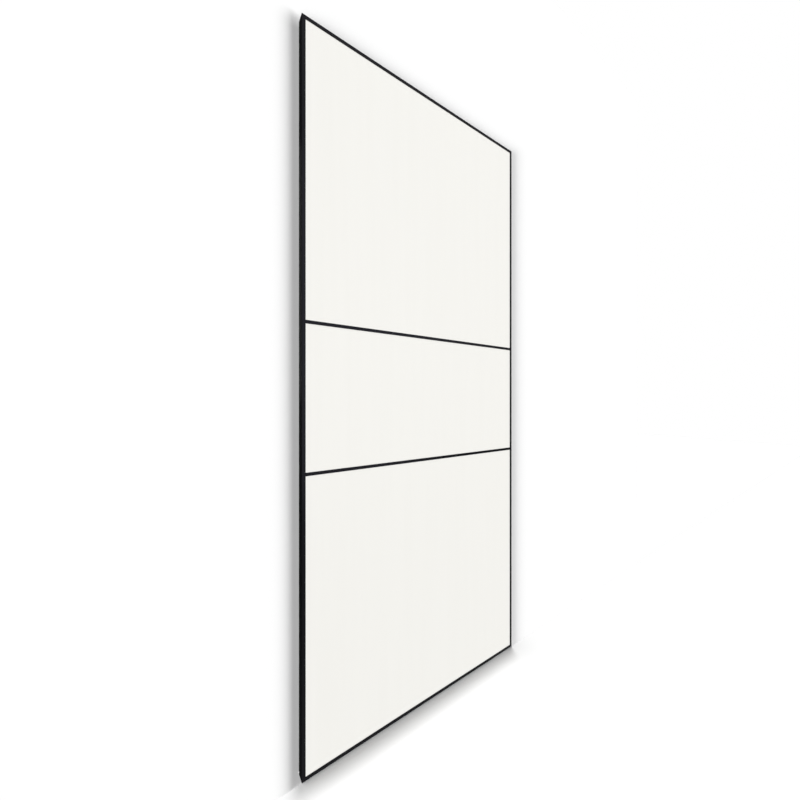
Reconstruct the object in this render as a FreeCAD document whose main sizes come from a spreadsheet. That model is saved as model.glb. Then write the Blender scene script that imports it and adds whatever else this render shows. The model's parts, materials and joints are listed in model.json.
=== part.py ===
import FreeCAD, Part
import Sketcher
import os

# Slim-framed sliding door leaf. A mitred frame of hollow aluminium section, two H-section
# dividers and three flush boards. The leaf hangs from two tapped plates in a slot along its top.
#
# Frame: X across the leaf, Y through its depth with the front at -Y, Z up.
# The origin is the middle of the underside. All sizes are in millimetres.

SIZES = [
    ("leaf_width", 1000, "overall width"),
    ("leaf_height", 2360, "overall height"),
    ("board_thickness", 28, "thickness of the three boards"),
    ("lip_wall", 1, "wall of the lips over the boards' faces"),
    ("glue_gap", 0.2, "gap between a board's face and a lip"),
    ("frame_face", 12, "width of the frame seen from the front"),
    ("outer_wall", 1.6, "outer wall of the frame section"),
    ("edge_round", 0.5, "radius along the frame's outer edges"),
    ("mitre_gap", 0.1, "gap between two members along their mitre"),
    ("chamber_depth", 4, "clear depth of the chamber inside the frame section"),
    ("inner_wall", 1.2, "wall between the chamber and the board"),
    ("divider_face", 11, "width of a divider seen from the front"),
    ("divider_web", 2, "web between the two boards of a divider"),
    ("lower_divider_level", 944, "middle of the lower divider above the underside"),
    ("upper_divider_level", 1416, "middle of the upper divider above the underside"),
    ("edge_gap", 0.5, "gap between a board's edge and the bottom of its groove"),
    ("joint_gap", 0.1, "gap between a divider's end and the frame"),
    ("fit_gap", 0.2, "gap round a piece that slides into the chamber"),
    ("key_leg", 60, "length of each leg of a corner key"),
    ("key_bevel", 1.2, "bevel that leads a corner key into the chamber"),
    ("key_teeth", 8, "teeth along each leg of a corner key"),
    ("tooth_depth", 0.7, "depth of the notch before each tooth"),
    ("tooth_length", 2.5, "length of the notch before each tooth"),
    ("slot_width", 9, "width of the hanger slot along the top"),
    ("plate_length", 80, "length of a hanger plate"),
    ("boss_length", 56, "length of the raised boss on a hanger plate"),
    ("plate_corner", 3, "corner radius of a hanger plate"),
    ("hanger_inset", 120, "hanger bolt's distance from the leaf's side"),
    ("hanger_bolt_core", 6.8, "core diameter of the hanger bolt's thread"),
    ("jack_screw_core", 4.2, "core diameter of the jack screws' threads"),
    ("jack_screw_offset", 20, "jack screw's distance from the hanger bolt"),
]

# Lengths that several pieces share, as expressions of the sheet's cells.
LEAF_DEPTH = "(Sizes.board_thickness + 2 * Sizes.glue_gap + 2 * Sizes.lip_wall)"
GROOVE_WIDTH = "(Sizes.board_thickness + 2 * Sizes.glue_gap)"
GROOVE_FLOOR = "(Sizes.outer_wall + Sizes.chamber_depth + Sizes.inner_wall)"
BOARD_INSET = f"({GROOVE_FLOOR} + Sizes.edge_gap)"
HALF_DEPTH = f"{LEAF_DEPTH} / 2"
HALF_GROOVE = f"{GROOVE_WIDTH} / 2"
LIP_ROUND = "(Sizes.lip_wall / 3)"
INSERT_THICKNESS = "(Sizes.chamber_depth - 2 * Sizes.fit_gap)"
INSERT_WIDTH = f"({GROOVE_WIDTH} - 2 * Sizes.fit_gap)"
INSERT_INSET = "(Sizes.outer_wall + Sizes.fit_gap)"
BOSS_HEIGHT = "Sizes.outer_wall"
BOSS_WIDTH = "(Sizes.slot_width - 2 * Sizes.fit_gap)"
BOARD_TO_DIVIDER = "(Sizes.divider_web / 2 + Sizes.edge_gap)"

# Two places closer than this, in millimetres, are one.
SAME_PLACE = 1e-4

ALONG_X = FreeCAD.Vector(1, 0, 0)
ALONG_Y = FreeCAD.Vector(0, 1, 0)
ALONG_Z = FreeCAD.Vector(0, 0, 1)

document = FreeCAD.newDocument("SlidingDoorLeaf")
nodes = []


def fill_sheet():
    """Write each driving dimension to a row of the sheet, with its name and what it is."""
    sheet = document.addObject("Spreadsheet::Sheet", "Sizes")
    for row, (alias, size, meaning) in enumerate(SIZES, start=1):
        sheet.set(f"A{row}", alias)
        sheet.set(f"B{row}", str(size))
        sheet.set(f"C{row}", meaning)
        sheet.setAlias(f"B{row}", alias)
    document.recompute()


def place(piece, x, y, z, turn=None):
    """Place a piece by three expressions, after an optional turn about a row axis."""
    if turn is not None:
        piece.Placement = FreeCAD.Placement(FreeCAD.Vector(), turn)
    piece.setExpression("Placement.Base.x", x)
    piece.setExpression("Placement.Base.y", y)
    piece.setExpression("Placement.Base.z", z)


def new_body(label):
    """Start a body that becomes the node of the same name."""
    body = document.addObject("PartDesign::Body", label)
    body.Label = label
    nodes.append(body)
    return body


def origin_feature(body, role):
    """One of the body's own origin planes or axes."""
    return next(item for item in body.Origin.OriginFeatures if item.Role == role)


def new_sketch(body, name, role):
    """Add a sketch on one of the body's own origin planes."""
    sketch = body.newObject("Sketcher::SketchObject", name)
    sketch.AttachmentSupport = (origin_feature(body, role), [""])
    sketch.MapMode = "FlatFace"
    return sketch


def bind(sketch, constraint, expression):
    """Add a dimension to a sketch and tie it to the sheet."""
    index = sketch.addConstraint(constraint)
    sketch.setExpression(f"Constraints[{index}]", expression)


def draw_loop(sketch, corners):
    """Draw a closed outline whose corners are pairs of expressions."""
    points = []
    for across, up in corners:
        x = float(sketch.evalExpression(across))
        y = float(sketch.evalExpression(up))
        points.append(FreeCAD.Vector(x, y, 0))
    first = sketch.GeometryCount
    count = len(points)
    for index, point in enumerate(points):
        sketch.addGeometry(Part.LineSegment(point, points[(index + 1) % count]), False)
    for index in range(count):
        line = first + index
        after = first + (index + 1) % count
        sketch.addConstraint(Sketcher.Constraint("Coincident", line, 2, after, 1))
        across, up = corners[index]
        point = points[index]
        bind(sketch, Sketcher.Constraint("DistanceX", -1, 1, line, 1, point.x), across)
        bind(sketch, Sketcher.Constraint("DistanceY", -1, 1, line, 1, point.y), up)


def draw_rectangle(sketch, left, low, right, high):
    """Draw an upright rectangle between two corners given as expressions."""
    draw_loop(sketch, [(left, low), (right, low), (right, high), (left, high)])


def draw_circle(sketch, across, up, diameter):
    """Draw a circle whose centre and diameter are expressions."""
    x = float(sketch.evalExpression(across))
    y = float(sketch.evalExpression(up))
    radius = f"{diameter} / 2"
    size = float(sketch.evalExpression(radius))
    index = sketch.addGeometry(Part.Circle(FreeCAD.Vector(x, y, 0), ALONG_Z, size), False)
    bind(sketch, Sketcher.Constraint("DistanceX", -1, 1, index, 3, x), across)
    bind(sketch, Sketcher.Constraint("DistanceY", -1, 1, index, 3, y), up)
    bind(sketch, Sketcher.Constraint("Radius", index, size), radius)


def add_pad(body, name, sketch, length, symmetric=False):
    """Raise a sketch by a length, to one side or to both."""
    pad = body.newObject("PartDesign::Pad", name)
    pad.Profile = sketch
    pad.SideType = "Symmetric" if symmetric else "One side"
    pad.setExpression("Length", length)
    document.recompute()
    return pad


def round_long_edges(body, name, base, direction, corners, radius):
    """Round the edges of an extrusion that run along a direction through the section's given corners.

    Each corner is a pair of expressions, in the order of the two row axes square to the direction.
    """
    wanted = []
    for first, second in corners:
        wanted.append((float(body.evalExpression(first)), float(body.evalExpression(second))))
    chosen = []
    for number, edge in enumerate(base.Shape.Edges, start=1):
        start = edge.Vertexes[0].Point
        run = edge.Vertexes[-1].Point - start
        if run.Length < SAME_PLACE or run.cross(direction).Length > SAME_PLACE:
            continue
        across = [here for here, along in zip(start, direction) if not along]
        for corner in wanted:
            if max(abs(across[0] - corner[0]), abs(across[1] - corner[1])) < SAME_PLACE:
                chosen.append(f"Edge{number}")
    if len(chosen) != len(wanted):
        raise ValueError(f"{body.Label}: {name} finds {len(chosen)} of {len(wanted)} edges")
    rounding = body.newObject("PartDesign::Fillet", name)
    rounding.Base = (base, chosen)
    rounding.setExpression("Radius", radius)
    document.recompute()
    return rounding


def both_sides(across, depth):
    """Two corners of a section that lie as far to each side of its middle plane."""
    return [(across, depth), (across, f"-{depth}")]


def four_corners(across, up):
    """The corners of a rectangle centred on a section's middle."""
    return both_sides(across, up) + both_sides(f"-{across}", up)


def cut_through(body, name, sketch):
    """Cut a sketch through the whole body, to both sides, and check that it takes material off."""
    before = body.Shape.Volume
    pocket = body.newObject("PartDesign::Pocket", name)
    pocket.Profile = sketch
    pocket.SideType = "Symmetric"
    pocket.Type = "ThroughAll"
    document.recompute()
    if body.Shape.Volume >= before:
        raise ValueError(f"{body.Label}: {name} cuts nothing")
    return pocket


def frame_member(label, length, slotted=False):
    """One side of the frame, standing on end, with its outer wall at X = 0 and its groove facing +X.

    The section is a hollow edge with two lips that hold a board. Both ends are mitred, so the
    outer wall has the full length. A slotted member's outer wall is open along its middle.
    """
    body = new_body(label)
    half_slot = "Sizes.slot_width / 2"
    chamber_floor = "(Sizes.outer_wall + Sizes.chamber_depth)"
    face = "Sizes.frame_face"
    lips = [
        ("0", f"-{HALF_DEPTH}"),
        (face, f"-{HALF_DEPTH}"),
        (face, f"-{HALF_GROOVE}"),
        (GROOVE_FLOOR, f"-{HALF_GROOVE}"),
        (GROOVE_FLOOR, HALF_GROOVE),
        (face, HALF_GROOVE),
        (face, HALF_DEPTH),
        ("0", HALF_DEPTH),
    ]
    section = new_sketch(body, f"{label}_section", "XY_Plane")
    if slotted:
        chamber_and_slot = [
            ("0", half_slot),
            ("Sizes.outer_wall", half_slot),
            ("Sizes.outer_wall", HALF_GROOVE),
            (chamber_floor, HALF_GROOVE),
            (chamber_floor, f"-{HALF_GROOVE}"),
            ("Sizes.outer_wall", f"-{HALF_GROOVE}"),
            ("Sizes.outer_wall", f"-{half_slot}"),
            ("0", f"-{half_slot}"),
        ]
        draw_loop(section, lips + chamber_and_slot)
    else:
        draw_loop(section, lips)
        draw_rectangle(section, "Sizes.outer_wall", f"-{HALF_GROOVE}", chamber_floor, HALF_GROOVE)
    bar = add_pad(body, f"{label}_extrusion", section, length)

    corners = both_sides("0", HALF_DEPTH)
    bar = round_long_edges(body, f"{label}_outer_edges", bar, ALONG_Z, corners, "Sizes.edge_round")
    lip_corners = both_sides(face, HALF_DEPTH) + both_sides(face, HALF_GROOVE)
    if slotted:
        lip_corners += both_sides("0", half_slot)
    round_long_edges(body, f"{label}_lip_edges", bar, ALONG_Z, lip_corners, LIP_ROUND)

    setback = "(Sizes.mitre_gap / sqrt(2))"
    mitres = new_sketch(body, f"{label}_mitre_lines", "XZ_Plane")
    draw_loop(mitres, [("0", "0"), (face, "0"), (face, f"{face} + {setback}"), ("0", setback)])
    draw_loop(
        mitres,
        [
            ("0", length),
            ("0", f"{length} - {setback}"),
            (face, f"{length} - {face} - {setback}"),
            (face, length),
        ],
    )
    cut_through(body, f"{label}_mitres", mitres)
    return body


def divider(label, level):
    """An H-section bar between the stiles, whose web reaches on into the stiles' grooves."""
    body = new_body(label)
    half_face = "Sizes.divider_face / 2"
    half_web = "Sizes.divider_web / 2"
    section = new_sketch(body, f"{label}_section", "YZ_Plane")
    draw_loop(
        section,
        [
            (f"-{HALF_DEPTH}", f"-{half_face}"),
            (f"-{HALF_GROOVE}", f"-{half_face}"),
            (f"-{HALF_GROOVE}", f"-{half_web}"),
            (HALF_GROOVE, f"-{half_web}"),
            (HALF_GROOVE, f"-{half_face}"),
            (HALF_DEPTH, f"-{half_face}"),
            (HALF_DEPTH, half_face),
            (HALF_GROOVE, half_face),
            (HALF_GROOVE, half_web),
            (f"-{HALF_GROOVE}", half_web),
            (f"-{HALF_GROOVE}", half_face),
            (f"-{HALF_DEPTH}", half_face),
        ],
    )
    between_lips = "Sizes.leaf_width - 2 * Sizes.frame_face - 2 * Sizes.joint_gap"
    bar = add_pad(body, f"{label}_bar", section, between_lips, symmetric=True)
    lip_corners = four_corners(HALF_DEPTH, half_face) + four_corners(HALF_GROOVE, half_face)
    round_long_edges(body, f"{label}_lip_edges", bar, ALONG_X, lip_corners, LIP_ROUND)

    tongue = new_sketch(body, f"{label}_tongue_section", "YZ_Plane")
    tongue_edge = f"({HALF_GROOVE} - Sizes.glue_gap)"
    draw_rectangle(tongue, f"-{tongue_edge}", f"-{half_web}", tongue_edge, half_web)
    between_grooves = f"Sizes.leaf_width - 2 * {GROOVE_FLOOR} - 2 * Sizes.joint_gap"
    add_pad(body, f"{label}_tongue", tongue, between_grooves, symmetric=True)
    place(body, "0", "0", level)
    return body


def board(label, low_edge, high_edge):
    """A flush board between two levels, with its edges in the grooves round it."""
    panel = document.addObject("Part::Box", label)
    panel.Label = label
    panel.setExpression("Length", f"Sizes.leaf_width - 2 * {BOARD_INSET}")
    panel.setExpression("Width", "Sizes.board_thickness")
    panel.setExpression("Height", f"{high_edge} - {low_edge}")
    place(panel, f"{BOARD_INSET} - Sizes.leaf_width / 2", "-Sizes.board_thickness / 2", low_edge)
    nodes.append(panel)
    return panel


def corner_key(label, x, z, angle):
    """An L-shaped key in the chambers that meet at a corner, drawn for the lower left one."""
    body = new_body(label)
    outline = new_sketch(body, f"{label}_outline", "XZ_Plane")
    near = INSERT_INSET
    far = f"({INSERT_INSET} + {INSERT_THICKNESS})"
    end = f"({INSERT_INSET} + Sizes.key_leg)"
    bevel_start = f"({end} - Sizes.key_bevel)"
    bevel_near = f"({near} + Sizes.key_bevel)"
    bevel_far = f"({far} - Sizes.key_bevel)"
    draw_loop(
        outline,
        [
            (near, near),
            (bevel_start, near),
            (end, bevel_near),
            (end, bevel_far),
            (bevel_start, far),
            (far, far),
            (far, bevel_start),
            (bevel_far, end),
            (bevel_near, end),
            (near, bevel_start),
        ],
    )
    add_pad(body, f"{label}_leg_width", outline, INSERT_WIDTH, symmetric=True)

    # Each notch slopes down to its tooth, so that the leg slides in and doesn't slide out.
    rise = f"({near} + Sizes.tooth_depth)"
    first = f"({far} + Sizes.tooth_length)"
    after = f"({first} + Sizes.tooth_length)"
    for leg, role, notch in (
        ("level", "X_Axis", [(first, near), (after, near), (after, rise)]),
        ("upright", "Z_Axis", [(near, first), (near, after), (rise, after)]),
    ):
        outline = new_sketch(body, f"{label}_{leg}_notch", "XZ_Plane")
        draw_loop(outline, notch)
        cut = cut_through(body, f"{label}_{leg}_first_notch", outline)
        teeth = body.newObject("PartDesign::LinearPattern", f"{label}_{leg}_teeth")
        teeth.Originals = [cut]
        teeth.Direction = (origin_feature(body, role), [""])
        teeth.Mode = "Extent"
        teeth.setExpression("Length", f"{bevel_start} - {after} - Sizes.tooth_length")
        teeth.setExpression("Occurrences", "Sizes.key_teeth")
        body.Tip = teeth
        document.recompute()
    place(body, x, "0", z, FreeCAD.Rotation(ALONG_Y, angle))
    return body


def hanger_plate(label, x):
    """A sliding plate under the lips of the top slot, with a tapped boss that rises into it.

    A jack screw each side of the hanger bolt presses on the chamber's floor and clamps the plate.
    """
    body = new_body(label)
    plate_outline = new_sketch(body, f"{label}_outline", "XY_Plane")
    half_length = "Sizes.plate_length / 2"
    half_width = f"{INSERT_WIDTH} / 2"
    draw_rectangle(plate_outline, f"-{half_length}", f"-{half_width}", half_length, half_width)
    plate = add_pad(body, f"{label}_plate", plate_outline, INSERT_THICKNESS)
    plate_corners = four_corners(half_length, half_width)
    round_long_edges(body, f"{label}_rounding", plate, ALONG_Z, plate_corners, "Sizes.plate_corner")

    boss_outline = new_sketch(body, f"{label}_boss_outline", "XY_Plane")
    half_boss = "Sizes.boss_length / 2"
    half_boss_width = f"{BOSS_WIDTH} / 2"
    draw_rectangle(boss_outline, f"-{half_boss}", f"-{half_boss_width}", half_boss, half_boss_width)
    add_pad(body, f"{label}_boss", boss_outline, f"{INSERT_THICKNESS} + {BOSS_HEIGHT}")

    bolt_core = new_sketch(body, f"{label}_bolt_core", "XY_Plane")
    draw_circle(bolt_core, "0", "0", "Sizes.hanger_bolt_core")
    cut_through(body, f"{label}_bolt_thread", bolt_core)

    screw_core = new_sketch(body, f"{label}_jack_screw_core", "XY_Plane")
    draw_circle(screw_core, "Sizes.jack_screw_offset", "0", "Sizes.jack_screw_core")
    screw_thread = cut_through(body, f"{label}_jack_screw_thread", screw_core)
    both_threads = body.newObject("PartDesign::Mirrored", f"{label}_jack_screw_threads")
    both_threads.Originals = [screw_thread]
    both_threads.MirrorPlane = (origin_feature(body, "YZ_Plane"), [""])
    body.Tip = both_threads
    document.recompute()

    underside = f"Sizes.leaf_height - Sizes.outer_wall - Sizes.fit_gap - {INSERT_THICKNESS}"
    place(body, x, "0", underside)
    return body


def build_frame():
    """The four mitred sides of the frame and the key at each corner."""
    half_width = "Sizes.leaf_width / 2"
    left_stile = frame_member("left_stile", "Sizes.leaf_height")
    place(left_stile, f"-{half_width}", "0", "0")
    right_stile = frame_member("right_stile", "Sizes.leaf_height")
    place(right_stile, half_width, "0", "0", FreeCAD.Rotation(ALONG_Z, 180))
    bottom_rail = frame_member("bottom_rail", "Sizes.leaf_width")
    place(bottom_rail, half_width, "0", "0", FreeCAD.Rotation(ALONG_Y, -90))
    top_rail = frame_member("top_rail", "Sizes.leaf_width", slotted=True)
    place(top_rail, f"-{half_width}", "0", "Sizes.leaf_height", FreeCAD.Rotation(ALONG_Y, 90))

    corner_key("corner_key_bottom_left", f"-{half_width}", "0", 0)
    corner_key("corner_key_top_left", f"-{half_width}", "Sizes.leaf_height", 90)
    corner_key("corner_key_top_right", half_width, "Sizes.leaf_height", 180)
    corner_key("corner_key_bottom_right", half_width, "0", 270)


def build_infill():
    """The two dividers and the three boards between them."""
    lower = "Sizes.lower_divider_level"
    upper = "Sizes.upper_divider_level"
    divider("lower_divider", lower)
    divider("upper_divider", upper)
    board("bottom_panel", BOARD_INSET, f"({lower} - {BOARD_TO_DIVIDER})")
    board("middle_panel", f"({lower} + {BOARD_TO_DIVIDER})", f"({upper} - {BOARD_TO_DIVIDER})")
    board("top_panel", f"({upper} + {BOARD_TO_DIVIDER})", f"(Sizes.leaf_height - {BOARD_INSET})")


def build_hangers():
    """The two tapped plates that the leaf hangs from."""
    hanger_plate("hanger_plate_left", "Sizes.hanger_inset - Sizes.leaf_width / 2")
    hanger_plate("hanger_plate_right", "Sizes.leaf_width / 2 - Sizes.hanger_inset")


def check_model():
    """Stop where any object failed or a piece has no valid solid."""
    for item in document.Objects:
        if "Invalid" in item.State or "Error" in item.State:
            raise ValueError(f"{item.Label} failed: {item.State}")
    for node in nodes:
        if node.Shape.isNull() or not node.Shape.isValid() or not node.Shape.Solids:
            raise ValueError(f"{node.Label} has no valid solid")


def write_parts():
    """Write each piece's solid to a file of the piece's own name."""
    os.makedirs("parts", exist_ok=True)
    for node in nodes:
        node.Shape.exportStep(f"parts/{node.Label}.step")
        box = node.Shape.BoundBox
        print(f"{node.Label}: {node.Shape.Volume / 1000:.1f} cm3, {box}")


fill_sheet()
build_frame()
build_infill()
build_hangers()
document.recompute()
check_model()
write_parts()
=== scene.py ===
import json
import logging
import math
from collections.abc import Callable, Iterable
from dataclasses import dataclass
from enum import Enum

import bmesh
import bpy
from mathutils import Matrix, Vector

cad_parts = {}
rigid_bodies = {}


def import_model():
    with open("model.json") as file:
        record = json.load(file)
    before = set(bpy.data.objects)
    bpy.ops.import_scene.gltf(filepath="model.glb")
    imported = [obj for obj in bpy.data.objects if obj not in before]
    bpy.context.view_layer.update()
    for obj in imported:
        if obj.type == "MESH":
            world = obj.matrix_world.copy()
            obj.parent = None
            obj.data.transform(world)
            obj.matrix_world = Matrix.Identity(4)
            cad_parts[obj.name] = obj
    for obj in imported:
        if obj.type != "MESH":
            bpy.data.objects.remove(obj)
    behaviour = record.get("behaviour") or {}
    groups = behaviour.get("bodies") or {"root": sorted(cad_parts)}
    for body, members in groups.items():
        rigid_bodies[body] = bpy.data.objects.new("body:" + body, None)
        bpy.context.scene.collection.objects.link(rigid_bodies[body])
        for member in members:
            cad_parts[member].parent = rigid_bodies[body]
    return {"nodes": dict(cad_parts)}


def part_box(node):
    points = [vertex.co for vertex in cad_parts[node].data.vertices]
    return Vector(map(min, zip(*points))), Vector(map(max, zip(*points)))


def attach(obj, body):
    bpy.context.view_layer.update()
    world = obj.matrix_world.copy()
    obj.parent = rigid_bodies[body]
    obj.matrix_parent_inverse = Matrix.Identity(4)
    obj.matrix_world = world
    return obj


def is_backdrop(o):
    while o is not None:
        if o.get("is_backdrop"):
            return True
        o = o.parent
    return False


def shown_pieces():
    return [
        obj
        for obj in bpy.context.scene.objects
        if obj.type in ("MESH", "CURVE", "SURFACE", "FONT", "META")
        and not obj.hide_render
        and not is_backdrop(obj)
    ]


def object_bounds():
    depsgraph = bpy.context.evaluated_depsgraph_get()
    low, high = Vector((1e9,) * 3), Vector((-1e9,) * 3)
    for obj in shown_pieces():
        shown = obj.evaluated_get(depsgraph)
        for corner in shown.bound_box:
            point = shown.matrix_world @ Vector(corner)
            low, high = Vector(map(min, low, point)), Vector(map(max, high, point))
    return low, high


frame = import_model()

# Looks of a slim-framed sliding door leaf: black powder-coated frame, three flush white boards
# and the steel fittings in its top edge. Everything is in metres, with the front towards -Y.

MM = 0.001
BODY = "root"

# The middle range of a noise pattern, in which most of it lies.
NOISE_LOW = 0.3
NOISE_HIGH = 0.7

# A face points straight along an axis where that part of its normal is more than this.
STRAIGHT = 0.99

# Faces that meet at less than this many degrees are shaded as one round surface.
SMOOTH_ANGLE = 35

Colour = tuple[float, float, float]
Point = tuple[float, float, float]

log = logging.getLogger("sliding_door_leaf")


class Slot(Enum):
    """The record's material slots."""

    FRAME = "frame"
    BOARD = "board"
    FITTING = "fitting"


# Small helpers for node trees


def by_identifier(
    sockets: Iterable[bpy.types.NodeSocket], identifier: str
) -> bpy.types.NodeSocket:
    """The socket of a node that has this identifier, where several share a name."""
    return next(item for item in sockets if item.identifier == identifier)


class Wiring:
    """Adds nodes to a tree and joins them."""

    def __init__(self, tree: bpy.types.NodeTree) -> None:
        """Keep the tree that the nodes go into.

        Args:
            tree: a material's, world's or group's node tree.
        """
        self.tree = tree

    def add(self, kind: str, **settings: object) -> bpy.types.Node:
        """Add a node and set its options.

        Args:
            kind: Blender's name of the node's type.
            settings: options of the node, by their own names.

        Returns:
            The new node.
        """
        node = self.tree.nodes.new(kind)
        for name, value in settings.items():
            setattr(node, name, value)
        return node

    def join(self, source: bpy.types.NodeSocket, target: bpy.types.NodeSocket) -> None:
        """Join an output to an input."""
        self.tree.links.new(source, target)

    def noise(
        self, place: bpy.types.NodeSocket, scale: float | bpy.types.NodeSocket, detail: float
    ) -> bpy.types.Node:
        """Add a noise pattern.

        Args:
            place: the coordinates it reads.
            scale: features per metre, or an output that gives them.
            detail: how many finer layers it has.

        Returns:
            The noise node.
        """
        node = self.add("ShaderNodeTexNoise")
        if isinstance(scale, float):
            node.inputs["Scale"].default_value = scale
        else:
            self.join(scale, node.inputs["Scale"])
        node.inputs["Detail"].default_value = detail
        self.join(place, node.inputs["Vector"])
        return node

    def spread(
        self, source: bpy.types.NodeSocket, low: float, high: float
    ) -> bpy.types.NodeSocket:
        """Map a pattern's middle range to two values.

        Args:
            source: a pattern from 0 to 1.
            low: the value for its darker parts.
            high: the value for its lighter parts.

        Returns:
            The mapped output.
        """
        node = self.add("ShaderNodeMapRange")
        node.inputs["From Min"].default_value = NOISE_LOW
        node.inputs["From Max"].default_value = NOISE_HIGH
        node.inputs["To Min"].default_value = low
        node.inputs["To Max"].default_value = high
        self.join(source, node.inputs["Value"])
        return node.outputs["Result"]

    def blend_colours(
        self,
        share: bpy.types.NodeSocket,
        first: Colour | bpy.types.NodeSocket,
        second: Colour | bpy.types.NodeSocket,
    ) -> bpy.types.NodeSocket:
        """Mix two colours by a pattern.

        Args:
            share: the pattern, where 0 gives the first colour and 1 the second.
            first: a linear colour, or an output that gives one.
            second: a linear colour, or an output that gives one.

        Returns:
            The mixed colour's output.
        """
        node = self.add("ShaderNodeMix", data_type="RGBA")
        self.join(share, by_identifier(node.inputs, "Factor_Float"))
        for label, colour in (("A_Color", first), ("B_Color", second)):
            target = by_identifier(node.inputs, label)
            if isinstance(colour, tuple):
                target.default_value = (*colour, 1.0)
            else:
                self.join(colour, target)
        return by_identifier(node.outputs, "Result_Color")


def new_group(name: str, inputs: Iterable[str], outputs: Iterable[str]) -> bpy.types.NodeTree:
    """Start a shader node group with numbers in and values out.

    Args:
        name: the group's name.
        inputs: the names of the numbers that each finish gives it.
        outputs: the names of the values it puts out.

    Returns:
        The group's tree.
    """
    tree = bpy.data.node_groups.new(name, "ShaderNodeTree")
    for direction, labels in (("INPUT", inputs), ("OUTPUT", outputs)):
        for label in labels:
            tree.interface.new_socket(label, in_out=direction, socket_type="NodeSocketFloat")
    return tree


# Surface effects that several finishes share


@dataclass
class SurfaceEffects:
    """Node groups for surface grain, straight wood figure and edges lighter from rubbing and a
    painted sheen.

    A detail is a noise pattern's number of finer layers. A stretch is below 1 where the pattern
    runs long upwards. The lighter edge, rubbing with a painted sheen, starts and is full at these
    cosines of the turn along an edge.
    """

    grain_detail: float = 2.0
    patch_detail: float = 4.0
    pore_stretch: float = 0.02
    band_stretch: float = 0.045
    figure_detail: float = 3.0
    figure_waver: float = 0.4
    edge_samples: int = 4
    rub_start: float = 0.99
    rub_full: float = 0.75
    rub_patches: float = 60.0
    rub_detail: float = 3.0
    rub_least: float = 0.25
    grain: bpy.types.NodeTree | None = None
    figure: bpy.types.NodeTree | None = None
    edge_rub_and_sheen: bpy.types.NodeTree | None = None

    def build(self) -> None:
        """Make the three groups."""
        self.grain = self.build_grain()
        self.figure = self.build_figure()
        self.edge_rub_and_sheen = self.build_edge_rub_and_sheen()

    def build_grain(self) -> bpy.types.NodeTree:
        """Make the group for an even grain with broad, faint patches.

        Returns:
            The group, with Height for the grain's relief and Tone for the patches.
        """
        tree = new_group("surface_grain", ("Grain", "Patches"), ("Height", "Tone"))
        wiring = Wiring(tree)
        start = wiring.add("NodeGroupInput")
        end = wiring.add("NodeGroupOutput")
        place = wiring.add("ShaderNodeTexCoord").outputs["Object"]
        patterns = (("Grain", "Height", self.grain_detail), ("Patches", "Tone", self.patch_detail))
        for label, output, detail in patterns:
            noise = wiring.noise(place, start.outputs[label], detail)
            wiring.join(noise.outputs["Fac"], end.inputs[output])
        return tree

    def build_figure(self) -> bpy.types.NodeTree:
        """Make the group for straight upright wood figure under a coat of lacquer.

        Returns:
            The group, with Height for the pores' relief and Tone for the wider growth bands.
        """
        tree = new_group("wood_figure", ("Pores", "Bands"), ("Height", "Tone"))
        wiring = Wiring(tree)
        start = wiring.add("NodeGroupInput")
        end = wiring.add("NodeGroupOutput")
        place = wiring.add("ShaderNodeTexCoord").outputs["Object"]
        patterns = (("Pores", "Height", self.pore_stretch), ("Bands", "Tone", self.band_stretch))
        for label, output, stretch in patterns:
            along = wiring.add("ShaderNodeMapping")
            along.inputs["Scale"].default_value = (1.0, 1.0, stretch)
            wiring.join(place, along.inputs["Vector"])
            noise = wiring.noise(along.outputs["Vector"], start.outputs[label], self.figure_detail)
            noise.inputs["Distortion"].default_value = self.figure_waver
            wiring.join(noise.outputs["Fac"], end.inputs[output])
        return tree

    def build_edge_rub_and_sheen(self) -> bpy.types.NodeTree:
        """Make the group for edges painted lighter, as a little rubbing from handling and a
        painted sheen.

        Returns:
            The group, with a Mask of 1 right on an edge, broken up by noise, and 0 on a face.
        """
        tree = new_group("rubbed_edges_and_painted_sheen", ("Reach",), ("Mask",))
        wiring = Wiring(tree)
        start = wiring.add("NodeGroupInput")
        end = wiring.add("NodeGroupOutput")
        bevel = wiring.add("ShaderNodeBevel", samples=self.edge_samples)
        wiring.join(start.outputs["Reach"], bevel.inputs["Radius"])
        normal = wiring.add("ShaderNodeNewGeometry").outputs["Normal"]
        match = wiring.add("ShaderNodeVectorMath", operation="DOT_PRODUCT")
        wiring.join(bevel.outputs["Normal"], match.inputs[0])
        wiring.join(normal, match.inputs[1])
        edge = wiring.add("ShaderNodeMapRange")
        edge.inputs["From Min"].default_value = self.rub_start
        edge.inputs["From Max"].default_value = self.rub_full
        wiring.join(match.outputs["Value"], edge.inputs["Value"])
        place = wiring.add("ShaderNodeTexCoord").outputs["Object"]
        noise = wiring.noise(place, self.rub_patches, self.rub_detail)
        patches = wiring.spread(noise.outputs["Fac"], self.rub_least, 1.0)
        product = wiring.add("ShaderNodeMath", operation="MULTIPLY")
        wiring.join(edge.outputs["Result"], product.inputs[0])
        wiring.join(patches, product.inputs[1])
        wiring.join(product.outputs["Value"], end.inputs["Mask"])
        return tree


# Finishes


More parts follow.
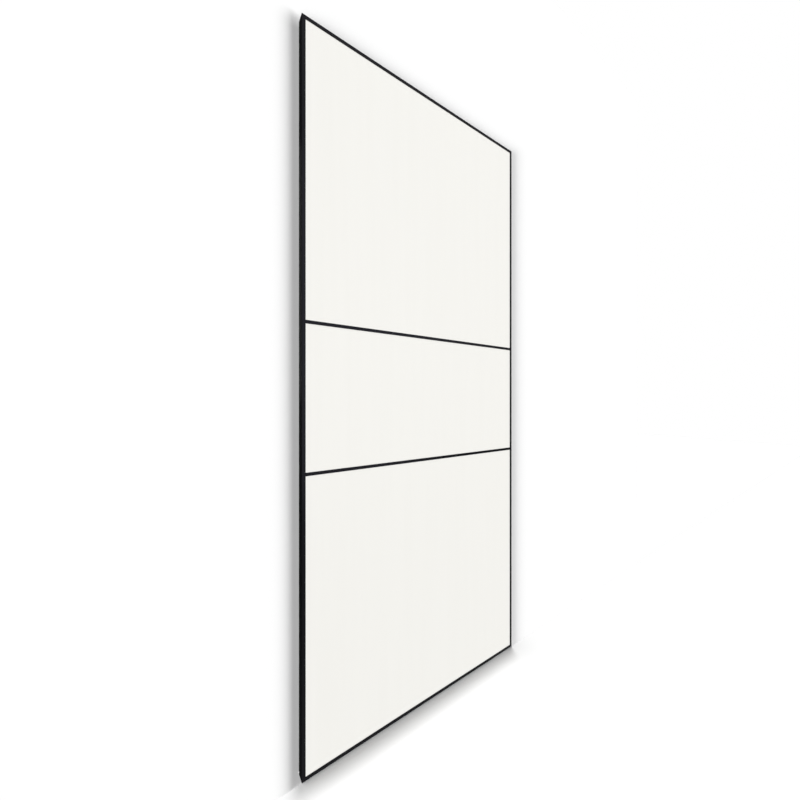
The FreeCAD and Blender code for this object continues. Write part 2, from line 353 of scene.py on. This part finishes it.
class MaterialSheet(Wiring):
    """A material with one Principled shader, and what is wired into it."""

    def __init__(self, name: str) -> None:
        """Start a material.

        Args:
            name: the finish's name.
        """
        self.material = bpy.data.materials.new(name)
        self.material.use_nodes = True
        super().__init__(self.material.node_tree)
        self.shader = self.tree.nodes["Principled BSDF"]

    def effect(self, group: bpy.types.NodeTree, **numbers: float) -> bpy.types.Node:
        """Place a shared effect with its own values.

        Args:
            group: the effect's node group.
            numbers: values for its inputs, by name.

        Returns:
            The group node.
        """
        node = self.add("ShaderNodeGroup", node_tree=group)
        for label, value in numbers.items():
            node.inputs[label].default_value = value
        return node

    def paint(
        self, tone: bpy.types.NodeSocket, darker: Colour, lighter: Colour
    ) -> bpy.types.NodeSocket:
        """Blend a finish's two colours by a pattern.

        Args:
            tone: the pattern.
            darker: the colour of its darker parts.
            lighter: the colour of its lighter parts.

        Returns:
            The blended colour's output.
        """
        return self.blend_colours(self.spread(tone, 0.0, 1.0), darker, lighter)

    def relief(self, height: bpy.types.NodeSocket, depth: float, strength: float) -> None:
        """Raise the surface by a pattern, in its shading.

        Args:
            height: the pattern.
            depth: its real depth in metres.
            strength: how much of it shows, from 0 to 1.
        """
        bump = self.add("ShaderNodeBump")
        bump.inputs["Distance"].default_value = depth
        bump.inputs["Strength"].default_value = strength
        self.join(height, bump.inputs["Height"])
        self.join(bump.outputs["Normal"], self.shader.inputs["Normal"])


class MattSheet(MaterialSheet):
    """A plain colour without any gloss, for the studio."""

    def __init__(self, name: str, colour: Colour) -> None:
        """Start the material and give it its colour.

        Args:
            name: the material's name.
            colour: its linear colour.
        """
        super().__init__(name)
        self.shader.inputs["Base Color"].default_value = (*colour, 1.0)
        self.shader.inputs["Roughness"].default_value = 1.0
        self.shader.inputs["Specular IOR Level"].default_value = 0.0


@dataclass(frozen=True)
class PowderCoat:
    """Fine-textured black powder coat on the aluminium frame, painted lighter along its edges as a
    sheen and a little rubbing.
    """

    name: str = "black_powder_coat"
    darker: Colour = (0.0040, 0.0040, 0.0048)
    lighter: Colour = (0.0050, 0.0050, 0.0060)
    # The colour of the edges: a painted sheen with a little rubbing.
    rub_and_sheen_colour: Colour = (0.0130, 0.0130, 0.0150)
    smoothest: float = 0.20
    roughest: float = 0.27
    gloss: float = 0.047
    sheen_tint: Colour = (0.80, 0.78, 1.0)
    grain_per_metre: float = 1500.0
    patches_per_metre: float = 14.0
    grain_depth: float = 0.02 * MM
    grain_strength: float = 0.35
    rub_and_sheen_reach: float = 0.4 * MM

    def make(self, effects: SurfaceEffects) -> bpy.types.Material:
        """Make the material.

        Args:
            effects: the shared surface effects.

        Returns:
            The finished material.
        """
        sheet = MaterialSheet(self.name)
        grain = sheet.effect(
            effects.grain, Grain=self.grain_per_metre, Patches=self.patches_per_metre
        )
        edge_rub_and_sheen = sheet.effect(effects.edge_rub_and_sheen, Reach=self.rub_and_sheen_reach)
        coat = sheet.paint(grain.outputs["Tone"], self.darker, self.lighter)
        # The edges are painted lighter here: a painted sheen along them, with a little rubbing.
        with_edge_sheen = sheet.blend_colours(edge_rub_and_sheen.outputs["Mask"], coat, self.rub_and_sheen_colour)
        sheet.join(with_edge_sheen, sheet.shader.inputs["Base Color"])
        roughness = sheet.spread(grain.outputs["Height"], self.smoothest, self.roughest)
        sheet.join(roughness, sheet.shader.inputs["Roughness"])
        sheet.shader.inputs["Specular IOR Level"].default_value = self.gloss
        sheet.shader.inputs["Specular Tint"].default_value = (*self.sheen_tint, 1.0)
        sheet.relief(grain.outputs["Height"], self.grain_depth, self.grain_strength)
        return sheet.material


@dataclass(frozen=True)
class WhiteLacquer:
    """Warm white matt lacquer on wooden boards, whose grain just shows in it close by."""

    name: str = "warm_white_lacquer"
    darker: Colour = (0.893, 0.884, 0.844)
    lighter: Colour = (0.901, 0.892, 0.853)
    smoothest: float = 0.50
    roughest: float = 0.60
    gloss: float = 0.25
    pores_per_metre: float = 900.0
    bands_per_metre: float = 38.0
    pore_depth: float = 0.03 * MM
    pore_strength: float = 0.25

    def make(self, effects: SurfaceEffects) -> bpy.types.Material:
        """Make the material.

        Args:
            effects: the shared surface effects.

        Returns:
            The finished material.
        """
        sheet = MaterialSheet(self.name)
        figure = sheet.effect(
            effects.figure, Pores=self.pores_per_metre, Bands=self.bands_per_metre
        )
        colour = sheet.paint(figure.outputs["Tone"], self.darker, self.lighter)
        sheet.join(colour, sheet.shader.inputs["Base Color"])
        roughness = sheet.spread(figure.outputs["Height"], self.smoothest, self.roughest)
        sheet.join(roughness, sheet.shader.inputs["Roughness"])
        sheet.shader.inputs["Specular IOR Level"].default_value = self.gloss
        sheet.relief(figure.outputs["Height"], self.pore_depth, self.pore_strength)
        return sheet.material


@dataclass(frozen=True)
class PlatedSteel:
    """Steel with a plated or blackened surface, painted lighter along its edges."""

    name: str
    darker: Colour
    lighter: Colour
    rub_and_sheen_colour: Colour
    smoothest: float
    roughest: float
    metal: float = 1.0
    grain_per_metre: float = 2500.0
    patches_per_metre: float = 120.0
    grain_depth: float = 0.01 * MM
    grain_strength: float = 0.4
    rub_and_sheen_reach: float = 0.3 * MM

    def make(self, effects: SurfaceEffects) -> bpy.types.Material:
        """Make the material.

        Args:
            effects: the shared surface effects.

        Returns:
            The finished material.
        """
        sheet = MaterialSheet(self.name)
        grain = sheet.effect(
            effects.grain, Grain=self.grain_per_metre, Patches=self.patches_per_metre
        )
        edge_rub_and_sheen = sheet.effect(effects.edge_rub_and_sheen, Reach=self.rub_and_sheen_reach)
        plate = sheet.paint(grain.outputs["Tone"], self.darker, self.lighter)
        with_edge_sheen = sheet.blend_colours(edge_rub_and_sheen.outputs["Mask"], plate, self.rub_and_sheen_colour)
        sheet.join(with_edge_sheen, sheet.shader.inputs["Base Color"])
        roughness = sheet.spread(grain.outputs["Tone"], self.smoothest, self.roughest)
        sheet.join(roughness, sheet.shader.inputs["Roughness"])
        sheet.shader.inputs["Metallic"].default_value = self.metal
        sheet.relief(grain.outputs["Height"], self.grain_depth, self.grain_strength)
        return sheet.material


ZINC_PLATE = PlatedSteel(
    name="zinc_plated_steel",
    darker=(0.46, 0.47, 0.49),
    lighter=(0.60, 0.61, 0.62),
    rub_and_sheen_colour=(0.72, 0.72, 0.73),
    smoothest=0.30,
    roughest=0.46,
)
BLACKENED_STEEL = PlatedSteel(
    name="blackened_steel",
    darker=(0.035, 0.036, 0.039),
    lighter=(0.065, 0.066, 0.070),
    rub_and_sheen_colour=(0.30, 0.30, 0.31),
    smoothest=0.32,
    roughest=0.48,
)


# Modelling steps that the fittings share


def clear_selection() -> None:
    """Deselect every object."""
    for item in bpy.context.view_layer.objects:
        item.select_set(False)


def select_only(piece: bpy.types.Object) -> None:
    """Make one object the only selected and the active one."""
    clear_selection()
    piece.select_set(True)
    bpy.context.view_layer.objects.active = piece


def select_faces(piece: bpy.types.Object, wanted: Callable[[bmesh.types.BMFace], bool]) -> None:
    """In edit mode, select only the faces that a test picks.

    Args:
        piece: the object in edit mode.
        wanted: says whether a face is picked.
    """
    bpy.ops.mesh.select_mode(type="FACE")
    bpy.ops.mesh.select_all(action="DESELECT")
    mesh = bmesh.from_edit_mesh(piece.data)
    for face in mesh.faces:
        face.select_set(wanted(face))
    mesh.select_flush_mode()
    bmesh.update_edit_mesh(piece.data)


def extrude_faces(rise: float, share: float = 1.0) -> None:
    """In edit mode, extrude the selected faces along Z and give them this share of their width."""
    bpy.ops.mesh.extrude_region_move(TRANSFORM_OT_translate={"value": (0, 0, rise)})
    bpy.ops.transform.resize(value=(share, share, 1))


def apply_modifiers(piece: bpy.types.Object) -> None:
    """Apply all modifiers of an object, in order."""
    select_only(piece)
    for modifier in list(piece.modifiers):
        bpy.ops.object.modifier_apply(modifier=modifier.name)


def put_in_order(piece: bpy.types.Object) -> None:
    """Sort a mesh's corners and faces by place, because extrude gives another order each run."""
    mesh = bmesh.new()
    mesh.from_mesh(piece.data)
    corners = sorted(mesh.verts, key=lambda corner: corner.co[:])
    faces = sorted(mesh.faces, key=lambda face: face.calc_center_median()[:])
    mesh.verts.sort(key={corner: rank for rank, corner in enumerate(corners)}.get)
    mesh.faces.sort(key={face: rank for rank, face in enumerate(faces)}.get)
    mesh.to_mesh(piece.data)
    mesh.free()


def settle(piece: bpy.types.Object) -> None:
    """Put an object's place, turn and scale into its mesh and smooth its rounded faces."""
    select_only(piece)
    bpy.ops.object.transform_apply(location=True, rotation=True, scale=True)
    put_in_order(piece)
    bpy.ops.object.shade_smooth_by_angle(angle=math.radians(SMOOTH_ANGLE))


def copy_to(pattern: bpy.types.Object, name: str, place: Point) -> bpy.types.Object:
    """Copy a piece modelled at the origin to its place, with a mesh of its own.

    Args:
        pattern: the piece to copy.
        name: the copy's name.
        place: where the copy goes.

    Returns:
        The copy.
    """
    piece = pattern.copy()
    piece.data = pattern.data.copy()
    piece.name = name
    piece.data.name = name
    piece.data.transform(Matrix.Translation(place))
    bpy.context.scene.collection.objects.link(piece)
    return piece


def finish_piece(piece: bpy.types.Object, material: bpy.types.Material) -> None:
    """Give a new piece its material and the body it rides on.

    Args:
        piece: the finished object.
        material: its finish.
    """
    piece.data.materials.clear()
    piece.data.materials.append(material)
    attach(piece, BODY)
    log.info("%s: %d faces", piece.name, len(piece.data.polygons))


def dress_node(name: str, material: bpy.types.Material) -> None:
    """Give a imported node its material.

    Args:
        name: the node's name.
        material: its finish.
    """
    node = frame["nodes"][name]
    for place in node.material_slots:
        place.material = material
    log.info("%s: %s", name, material.name)


# The leaf's sub-assemblies


@dataclass
class SlimFrame:
    """The four mitred sides and the two dividers, in black powder coat."""

    coat: bpy.types.Material
    sides: tuple[str, ...] = ("left_stile", "right_stile", "top_rail", "bottom_rail")
    dividers: tuple[str, ...] = ("lower_divider", "upper_divider")

    def dress(self) -> None:
        """Coat the sides and dividers."""
        for name in self.sides + self.dividers:
            dress_node(name, self.coat)


@dataclass
class FlushBoards:
    """The three lacquered boards."""

    lacquer: bpy.types.Material
    boards: tuple[str, ...] = ("bottom_panel", "middle_panel", "top_panel")

    def dress(self) -> None:
        """Lacquer the boards."""
        for name in self.boards:
            dress_node(name, self.lacquer)


@dataclass
class CornerKeys:
    """The barbed keys in the hollow corners."""

    zinc: bpy.types.Material
    keys: tuple[str, ...] = (
        "corner_key_bottom_left",
        "corner_key_top_left",
        "corner_key_top_right",
        "corner_key_bottom_right",
    )

    def dress(self) -> None:
        """Plate the keys."""
        for name in self.keys:
            dress_node(name, self.zinc)


@dataclass
class JackScrew:
    """A grub screw with a hexagon socket that clamps a hanger plate in its slot.

    The cone's tip is a share of the socket's width.
    """

    steel: bpy.types.Material
    diameter: float = 4.16 * MM
    length: float = 4.7 * MM
    chamfer: float = 0.35 * MM
    chamfer_steps: int = 2
    flats: int = 6
    across_flats: float = 2.5 * MM
    socket_depth: float = 2.4 * MM
    cone_depth: float = 0.45 * MM
    cone_tip: float = 0.15
    cup_diameter: float = 2.2 * MM
    cup_depth: float = 0.5 * MM
    sides: int = 48

    def model(self) -> bpy.types.Object:
        """Model the screw upright, with its point at the origin.

        Returns:
            The finished screw.
        """
        clear_selection()
        radius = self.diameter / 2
        bpy.ops.mesh.primitive_cylinder_add(
            vertices=self.sides,
            radius=radius,
            depth=self.length - 2 * self.chamfer,
            location=(0, 0, self.length / 2),
        )
        screw = bpy.context.active_object
        screw.name = "jack_screw_pattern"
        bpy.ops.object.mode_set(mode="EDIT")
        self.round_end(screw, 1)
        self.round_end(screw, -1)
        cup_radius = self.cup_diameter / 2
        bpy.ops.mesh.inset(thickness=radius - self.chamfer - cup_radius)
        bpy.ops.mesh.inset(thickness=cup_radius / 2)
        bpy.ops.transform.translate(value=(0, 0, self.cup_depth))
        self.sink_socket(screw)
        bpy.ops.object.mode_set(mode="OBJECT")
        settle(screw)
        return screw

    def round_end(self, screw: bpy.types.Object, up: int) -> None:
        """Draw one end out over its rounded edge, and leave its face selected.

        Args:
            screw: the screw's body, in edit mode.
            up: 1 for the top end and -1 for the point.
        """
        select_faces(screw, lambda face: face.normal.z * up > STRAIGHT)
        radius, height = self.diameter / 2, 0.0
        for step in range(1, self.chamfer_steps + 1):
            turn = math.pi / 2 * step / self.chamfer_steps
            next_radius = self.diameter / 2 - self.chamfer * (1 - math.cos(turn))
            next_height = self.chamfer * math.sin(turn)
            extrude_faces(up * (next_height - height), next_radius / radius)
            radius, height = next_radius, next_height

    def sink_socket(self, screw: bpy.types.Object) -> None:
        """Sink the hexagon socket into the top, with a drilled cone at its bottom.

        The mouth starts round, and its corners then move in to the six flats.

        Args:
            screw: the screw's body, in edit mode.
        """
        select_faces(screw, lambda face: face.normal.z > STRAIGHT)
        flat = math.tau / self.flats
        apothem = self.across_flats / 2
        mouth_radius = apothem / math.cos(flat / 2)
        bpy.ops.mesh.inset(thickness=self.diameter / 2 - self.chamfer - mouth_radius)
        mesh = bmesh.from_edit_mesh(screw.data)
        mouth = next(face for face in mesh.faces if face.select)
        for vertex in mouth.verts:
            turn = math.atan2(vertex.co.x, vertex.co.y) % flat - flat / 2
            vertex.co.xy = vertex.co.xy.normalized() * apothem / math.cos(turn)
        bmesh.update_edit_mesh(screw.data)
        extrude_faces(-self.socket_depth)
        extrude_faces(-self.cone_depth, self.cone_tip)

    def finish(self, places: dict[str, Point]) -> None:
        """Copy the screw to each place and blacken it.

        Args:
            places: each screw's name and where its point stands.
        """
        pattern = self.model()
        for name, place in places.items():
            finish_piece(copy_to(pattern, name, place), self.steel)
        bpy.data.objects.remove(pattern)


@dataclass
class BoltThread:
    """The turns of the thread that the hanger bolt screws into, standing in the bore's wall.

    The root lies a little inside the wall, and the flank is half the thread's width there, as a
    share of the pitch. Corners closer than the weld are one.
    """

    zinc: bpy.types.Material
    bore: float = 6.8 * MM
    pitch: float = 1.25 * MM
    height: float = 0.22 * MM
    root: float = 0.04 * MM
    flank: float = 0.42
    turns: int = 3
    steps: int = 48
    weld: float = 0.001 * MM

    def model(self) -> bpy.types.Object:
        """Model the thread upright round the origin, from Z = 0 up.

        Returns:
            The finished thread.
        """
        clear_selection()
        bpy.ops.mesh.primitive_circle_add(vertices=3, radius=self.height, fill_type="NGON")
        thread = bpy.context.active_object
        thread.name = "bolt_thread_pattern"
        bpy.ops.object.mode_set(mode="EDIT")
        mesh = bmesh.from_edit_mesh(thread.data)
        wall = self.bore / 2 + self.root
        corners = [
            (wall, -self.pitch * self.flank),
            (wall - self.height, 0.0),
            (wall, self.pitch * self.flank),
        ]
        for vertex, (across, up) in zip(mesh.verts, corners):
            vertex.co = (across, 0, up)
        bmesh.update_edit_mesh(thread.data)
        bpy.ops.mesh.select_all(action="SELECT")
        bpy.ops.mesh.delete(type="ONLY_FACE")
        bpy.ops.object.mode_set(mode="OBJECT")
        turn = thread.modifiers.new("turns", "SCREW")
        turn.axis = "Z"
        turn.angle = math.tau
        turn.screw_offset = self.pitch
        turn.iterations = self.turns
        turn.steps = turn.render_steps = self.steps
        apply_modifiers(thread)
        bpy.ops.object.mode_set(mode="EDIT")
        bpy.ops.mesh.select_all(action="SELECT")
        bpy.ops.mesh.remove_doubles(threshold=self.weld)
        bpy.ops.mesh.select_all(action="DESELECT")
        bpy.ops.mesh.select_mode(type="EDGE")
        bpy.ops.mesh.select_non_manifold()
        bpy.ops.mesh.fill()
        bpy.ops.mesh.select_all(action="SELECT")
        bpy.ops.mesh.normals_make_consistent(inside=False)
        bpy.ops.object.mode_set(mode="OBJECT")
        settle(thread)
        return thread

    def finish(self, places: dict[str, Point]) -> None:
        """Copy the thread to each place and plate it.

        Args:
            places: each thread's name and where it starts.
        """
        pattern = self.model()
        for name, place in places.items():
            finish_piece(copy_to(pattern, name, place), self.zinc)
        bpy.data.objects.remove(pattern)


@dataclass
class HangerFittings:
    """The two plates in the top slot, with their jack screws and bolt threads."""

    zinc: bpy.types.Material
    black: bpy.types.Material
    plates: tuple[str, ...] = ("hanger_plate_left", "hanger_plate_right")
    screw_offset: float = 20 * MM
    chamber_gap: float = 0.2 * MM

    def build(self) -> None:
        """Plate the plates, and add the screws and threads that belong in them."""
        screws: dict[str, Point] = {}
        threads: dict[str, Point] = {}
        thread = BoltThread(self.zinc)
        for name in self.plates:
            dress_node(name, self.zinc)
            low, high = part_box(name)
            middle = (low.x + high.x) / 2
            start = (low.z + high.z) / 2 - thread.pitch * thread.turns / 2
            threads[f"{name}_bolt_thread"] = (middle, 0, start)
            offsets = {"near_left": -self.screw_offset, "near_right": self.screw_offset}
            for side, offset in offsets.items():
                place = (middle + offset, 0, low.z - self.chamber_gap)
                screws[f"{name}_jack_screw_{side}"] = place
        thread.finish(threads)
        JackScrew(self.black).finish(screws)


# The studio


@dataclass(frozen=True)
class SoftLamp:
    """A lamp so far away that it lights evenly, with a soft disc.

    Azimuth 0 is straight in front of the leaf and 90 to its right, and elevation is above level.
    Both, and the disc's width, are in degrees.
    """

    name: str
    azimuth: float
    elevation: float
    disc: float
    strength: float

    def direction(self) -> Vector:
        """The direction from the leaf to the lamp."""
        around = math.radians(self.azimuth)
        up = math.radians(self.elevation)
        level = math.cos(up)
        return Vector((math.sin(around) * level, -math.cos(around) * level, math.sin(up)))

    def hang(self, lit: bpy.types.Collection, shading: bpy.types.Collection) -> None:
        """Put the lamp up.

        Args:
            lit: what it lights.
            shading: what casts shadows in its light.
        """
        data = bpy.data.lights.new(self.name, "SUN")
        data.energy = self.strength
        data.angle = math.radians(self.disc)
        lamp = bpy.data.objects.new(self.name, data)
        lamp.rotation_mode = "QUATERNION"
        lamp.rotation_quaternion = self.direction().to_track_quat("Z", "Y")
        bpy.context.scene.collection.objects.link(lamp)
        lamp.light_linking.receiver_collection = lit
        lamp.light_linking.blocker_collection = shading
        log.info("%s hung", self.name)


LEAF_LAMPS = (
    SoftLamp("front_softbox", azimuth=20, elevation=10, disc=54, strength=2.35),
    SoftLamp("back_softbox", azimuth=160, elevation=10, disc=60, strength=2.50),
    SoftLamp("top_softbox", azimuth=0, elevation=85, disc=90, strength=1.00),
)
FLOOR_LAMPS = (
    SoftLamp("overhead_lamp_right", azimuth=140.8, elevation=88.559, disc=1.63, strength=2.95),
    SoftLamp("overhead_lamp_left", azimuth=-114.0, elevation=87.398, disc=5.60, strength=1.73),
    SoftLamp("floor_fill", azimuth=-55.4, elevation=63.7, disc=48.6, strength=1.25),
)


class Use(Enum):
    """What a studio card does, unseen by the camera."""

    MIRRORED = "only gloss mirrors it"
    SHADING = "only lamps that name it are shaded by it"


@dataclass(frozen=True)
class StudioCard:
    """A plain flag or cloth near the leaf, unseen by the camera."""

    name: str
    use: Use
    low: Point
    high: Point
    grey: float = 0.02

    def stand(self) -> bpy.types.Object:
        """Stand the card in its place.

        Returns:
            The card.
        """
        clear_selection()
        low, high = Vector(self.low), Vector(self.high)
        bpy.ops.mesh.primitive_cube_add(size=1, location=(low + high) / 2)
        card = bpy.context.active_object
        card.name = self.name
        card.scale = high - low
        sheet = MattSheet(self.name, (self.grey, self.grey, self.grey))
        card.data.materials.append(sheet.material)
        card.visible_camera = False
        card.visible_diffuse = False
        card.visible_transmission = False
        card.visible_glossy = self.use is Use.MIRRORED
        card.visible_shadow = self.use is Use.SHADING
        card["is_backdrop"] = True
        return card


CLOTHS = (
    StudioCard("black_cloth", Use.MIRRORED, (-4.0, 1.1, -2.5), (-0.1, 1.12, 6.0), grey=0.10),
    StudioCard("grey_cloth", Use.MIRRORED, (-3.0, 1.0, 1.2), (-0.2, 1.02, 2.75), grey=0.40),
)


def collect(name: str, items: Iterable[bpy.types.Object]) -> bpy.types.Collection:
    """Gather objects in a collection for the lamps.

    Args:
        name: the collection's name.
        items: the objects.

    Returns:
        The collection.
    """
    group = bpy.data.collections.new(name)
    for item in items:
        group.objects.link(item)
    return group


@dataclass(frozen=True)
class FlaggedLamp:
    """A lamp for the backdrop, with flags that carry the leaf's shadow on past its corners."""

    lamp: SoftLamp
    flags: tuple[StudioCard, ...]

    def hang(self, lit: bpy.types.Collection, pieces: Iterable[bpy.types.Object]) -> None:
        """Stand the flags and put the lamp up.

        Args:
            lit: what the lamp lights.
            pieces: the leaf's pieces, which cast shadows in its light as the flags do.
        """
        flags = [flag.stand() for flag in self.flags]
        self.lamp.hang(lit, collect(f"{self.lamp.name}_shading", [*pieces, *flags]))


# The flags stand round the leaf's box, which is 1 m wide, 30.4 mm deep and 2.36 m high.
BACKDROP_LAMPS = (
    FlaggedLamp(
        SoftLamp("backdrop_lamp_right", azimuth=43.92, elevation=25.26, disc=39.5, strength=4.47),
        (
            StudioCard(
                "flag_below_left",
                Use.SHADING,
                low=(-0.5, -0.0152, -0.028),
                high=(-0.3, 0.0152, -0.001),
            ),
            StudioCard(
                "flag_above_left",
                Use.SHADING,
                low=(-0.5, -0.0152, 2.361),
                high=(-0.452, -0.0142, 2.404),
            ),
        ),
    ),
    FlaggedLamp(
        SoftLamp("backdrop_lamp_left", azimuth=-70.0, elevation=-29.53, disc=15.7, strength=5.52),
        (
            StudioCard(
                "flag_below_right",
                Use.SHADING,
                low=(0.3, -0.0152, -0.25),
                high=(0.5, 0.0152, -0.001),
            ),
            StudioCard(
                "flag_beside_left",
                Use.SHADING,
                low=(-0.568, -0.0152, 2.3),
                high=(-0.501, -0.0142, 2.36),
            ),
        ),
    ),
)


@dataclass
class Studio:
    """A pale floor, a white backdrop close behind the leaf, and soft lamps.

    The backdrop hangs past the floor on both sides of the leaf, so the leaf's shadow on it runs
    down to the leaf's feet.
    """

    floor_reach: float = 12.0
    floor_level: float = -0.1 * MM
    floor_white: Colour = (0.50, 0.50, 0.50)
    backdrop_left: float = -1.5
    backdrop_right: float = 2.0
    backdrop_top: float = 3.4
    backdrop_foot: float = -0.3
    backdrop_plane: float = 22.2 * MM
    backdrop_white: Colour = (0.60, 0.60, 0.60)
    ambient: float = 0.23

    def build(self) -> None:
        """Put the floor, the backdrop, the lamps and the surroundings in place."""
        floor = collect("floor_alone", self.build_floor())
        backdrop = collect("backdrop_alone", [self.build_backdrop()])
        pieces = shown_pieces()
        leaf = collect("leaf_pieces", pieces)
        for lamp in LEAF_LAMPS:
            lamp.hang(leaf, leaf)
        for lamp in FLOOR_LAMPS:
            lamp.hang(floor, leaf)
        for flagged in BACKDROP_LAMPS:
            flagged.hang(backdrop, pieces)
        for cloth in CLOTHS:
            cloth.stand()
        self.build_surroundings()

    def build_floor(self) -> list[bpy.types.Object]:
        """Lay the floor in front of the leaf, under it and behind the backdrop.

        Returns:
            The floor's three boards.
        """
        sheet = MattSheet("matt_white_floor", self.floor_white)
        low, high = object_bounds()
        far = self.floor_reach
        spans = {
            "studio_floor_front": (-far, -far, far, low.y),
            "studio_floor_under": (low.x, low.y, high.x, self.backdrop_plane),
            "studio_floor_back": (-far, self.backdrop_plane, far, far),
        }
        boards = []
        for name, (left, front, right, back) in spans.items():
            clear_selection()
            middle = ((left + right) / 2, (front + back) / 2, self.floor_level)
            bpy.ops.mesh.primitive_plane_add(size=1, location=middle)
            board = bpy.context.active_object
            board.name = name
            board.scale = (right - left, back - front, 1)
            board.data.materials.append(sheet.material)
            board.visible_diffuse = False
            board.visible_glossy = False
            board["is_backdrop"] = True
            boards.append(board)
        return boards

    def build_backdrop(self) -> bpy.types.Object:
        """Stand the backdrop up, which is see-through from behind.

        Returns:
            The backdrop.
        """
        clear_selection()
        bpy.ops.mesh.primitive_plane_add(size=1, rotation=(math.radians(90), 0, 0))
        backdrop = bpy.context.active_object
        backdrop.name = "studio_backdrop"
        width = self.backdrop_right - self.backdrop_left
        backdrop.scale = (width, self.backdrop_top - self.backdrop_foot, 1)
        middle = (self.backdrop_left + self.backdrop_right) / 2
        centre = (self.backdrop_top + self.backdrop_foot) / 2
        backdrop.location = (middle, self.backdrop_plane, centre)
        sheet = MattSheet("matt_white_backdrop", self.backdrop_white)
        behind = sheet.add("ShaderNodeNewGeometry").outputs["Backfacing"]
        clear = sheet.add("ShaderNodeBsdfTransparent").outputs["BSDF"]
        one_sided = sheet.add("ShaderNodeMixShader")
        sheet.join(behind, one_sided.inputs["Fac"])
        sheet.join(sheet.shader.outputs["BSDF"], one_sided.inputs[1])
        sheet.join(clear, one_sided.inputs[2])
        output = sheet.tree.nodes["Material Output"]
        sheet.join(one_sided.outputs["Shader"], output.inputs["Surface"])
        backdrop.data.materials.append(sheet.material)
        backdrop.visible_diffuse = False
        backdrop.visible_glossy = False
        backdrop.visible_transmission = False
        backdrop.visible_shadow = False
        backdrop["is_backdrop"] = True
        return backdrop

    def build_surroundings(self) -> None:
        """Surround the scene with white to be seen and mirrored, and with soft light."""
        world = bpy.data.worlds.new("white_studio")
        world.use_nodes = True
        bpy.context.scene.world = world
        wiring = Wiring(world.node_tree)
        world.node_tree.nodes.clear()
        rays = wiring.add("ShaderNodeLightPath")
        seen = rays.outputs["Is Camera Ray"]
        for other in ("Is Glossy Ray", "Is Transmission Ray"):
            either = wiring.add("ShaderNodeMath", operation="MAXIMUM")
            wiring.join(seen, either.inputs[0])
            wiring.join(rays.outputs[other], either.inputs[1])
            seen = either.outputs["Value"]
        soft = wiring.add("ShaderNodeBackground")
        soft.inputs["Strength"].default_value = self.ambient
        white = wiring.add("ShaderNodeBackground")
        for background in (soft, white):
            background.inputs["Color"].default_value = (1.0, 1.0, 1.0, 1.0)
        choice = wiring.add("ShaderNodeMixShader")
        wiring.join(seen, choice.inputs["Fac"])
        wiring.join(soft.outputs["Background"], choice.inputs[1])
        wiring.join(white.outputs["Background"], choice.inputs[2])
        output = wiring.add("ShaderNodeOutputWorld")
        wiring.join(choice.outputs["Shader"], output.inputs["Surface"])


@dataclass(frozen=True)
class Viewpoint:
    """The photograph's camera, level and turned to the right.

    It is placed in metres and turned in degrees, and its lens and sensor are in millimetres.
    """

    place: Point = (-0.7997, -1.0081, 1.1730)
    turn: float = 33.64
    lens: float = 14.594
    sensor: float = 36.0
    rise: float = 0.0004
    nearest: float = 0.01

    def set_up(self) -> None:
        """Make the scene's camera."""
        data = bpy.data.cameras.new("photo_camera")
        data.sensor_width = self.sensor
        data.lens = self.lens
        data.shift_y = self.rise
        data.clip_start = self.nearest
        camera = bpy.data.objects.new("photo_camera", data)
        camera.location = self.place
        camera.rotation_euler = (math.radians(90), 0, math.radians(-self.turn))
        bpy.context.scene.collection.objects.link(camera)
        bpy.context.scene.camera = camera


def main() -> None:
    """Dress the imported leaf, add its small fittings and set up the studio."""
    logging.basicConfig(level=logging.INFO, format="%(name)s: %(message)s")
    bpy.context.scene.view_settings.view_transform = "Standard"
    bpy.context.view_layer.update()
    Viewpoint().set_up()

    effects = SurfaceEffects()
    effects.build()
    coat = PowderCoat().make(effects)
    lacquer = WhiteLacquer().make(effects)
    zinc = ZINC_PLATE.make(effects)
    black = BLACKENED_STEEL.make(effects)

    SlimFrame(coat).dress()
    FlushBoards(lacquer).dress()
    CornerKeys(zinc).dress()
    HangerFittings(zinc, black).build()
    Studio().build()


if __name__ == "__main__":
    main()
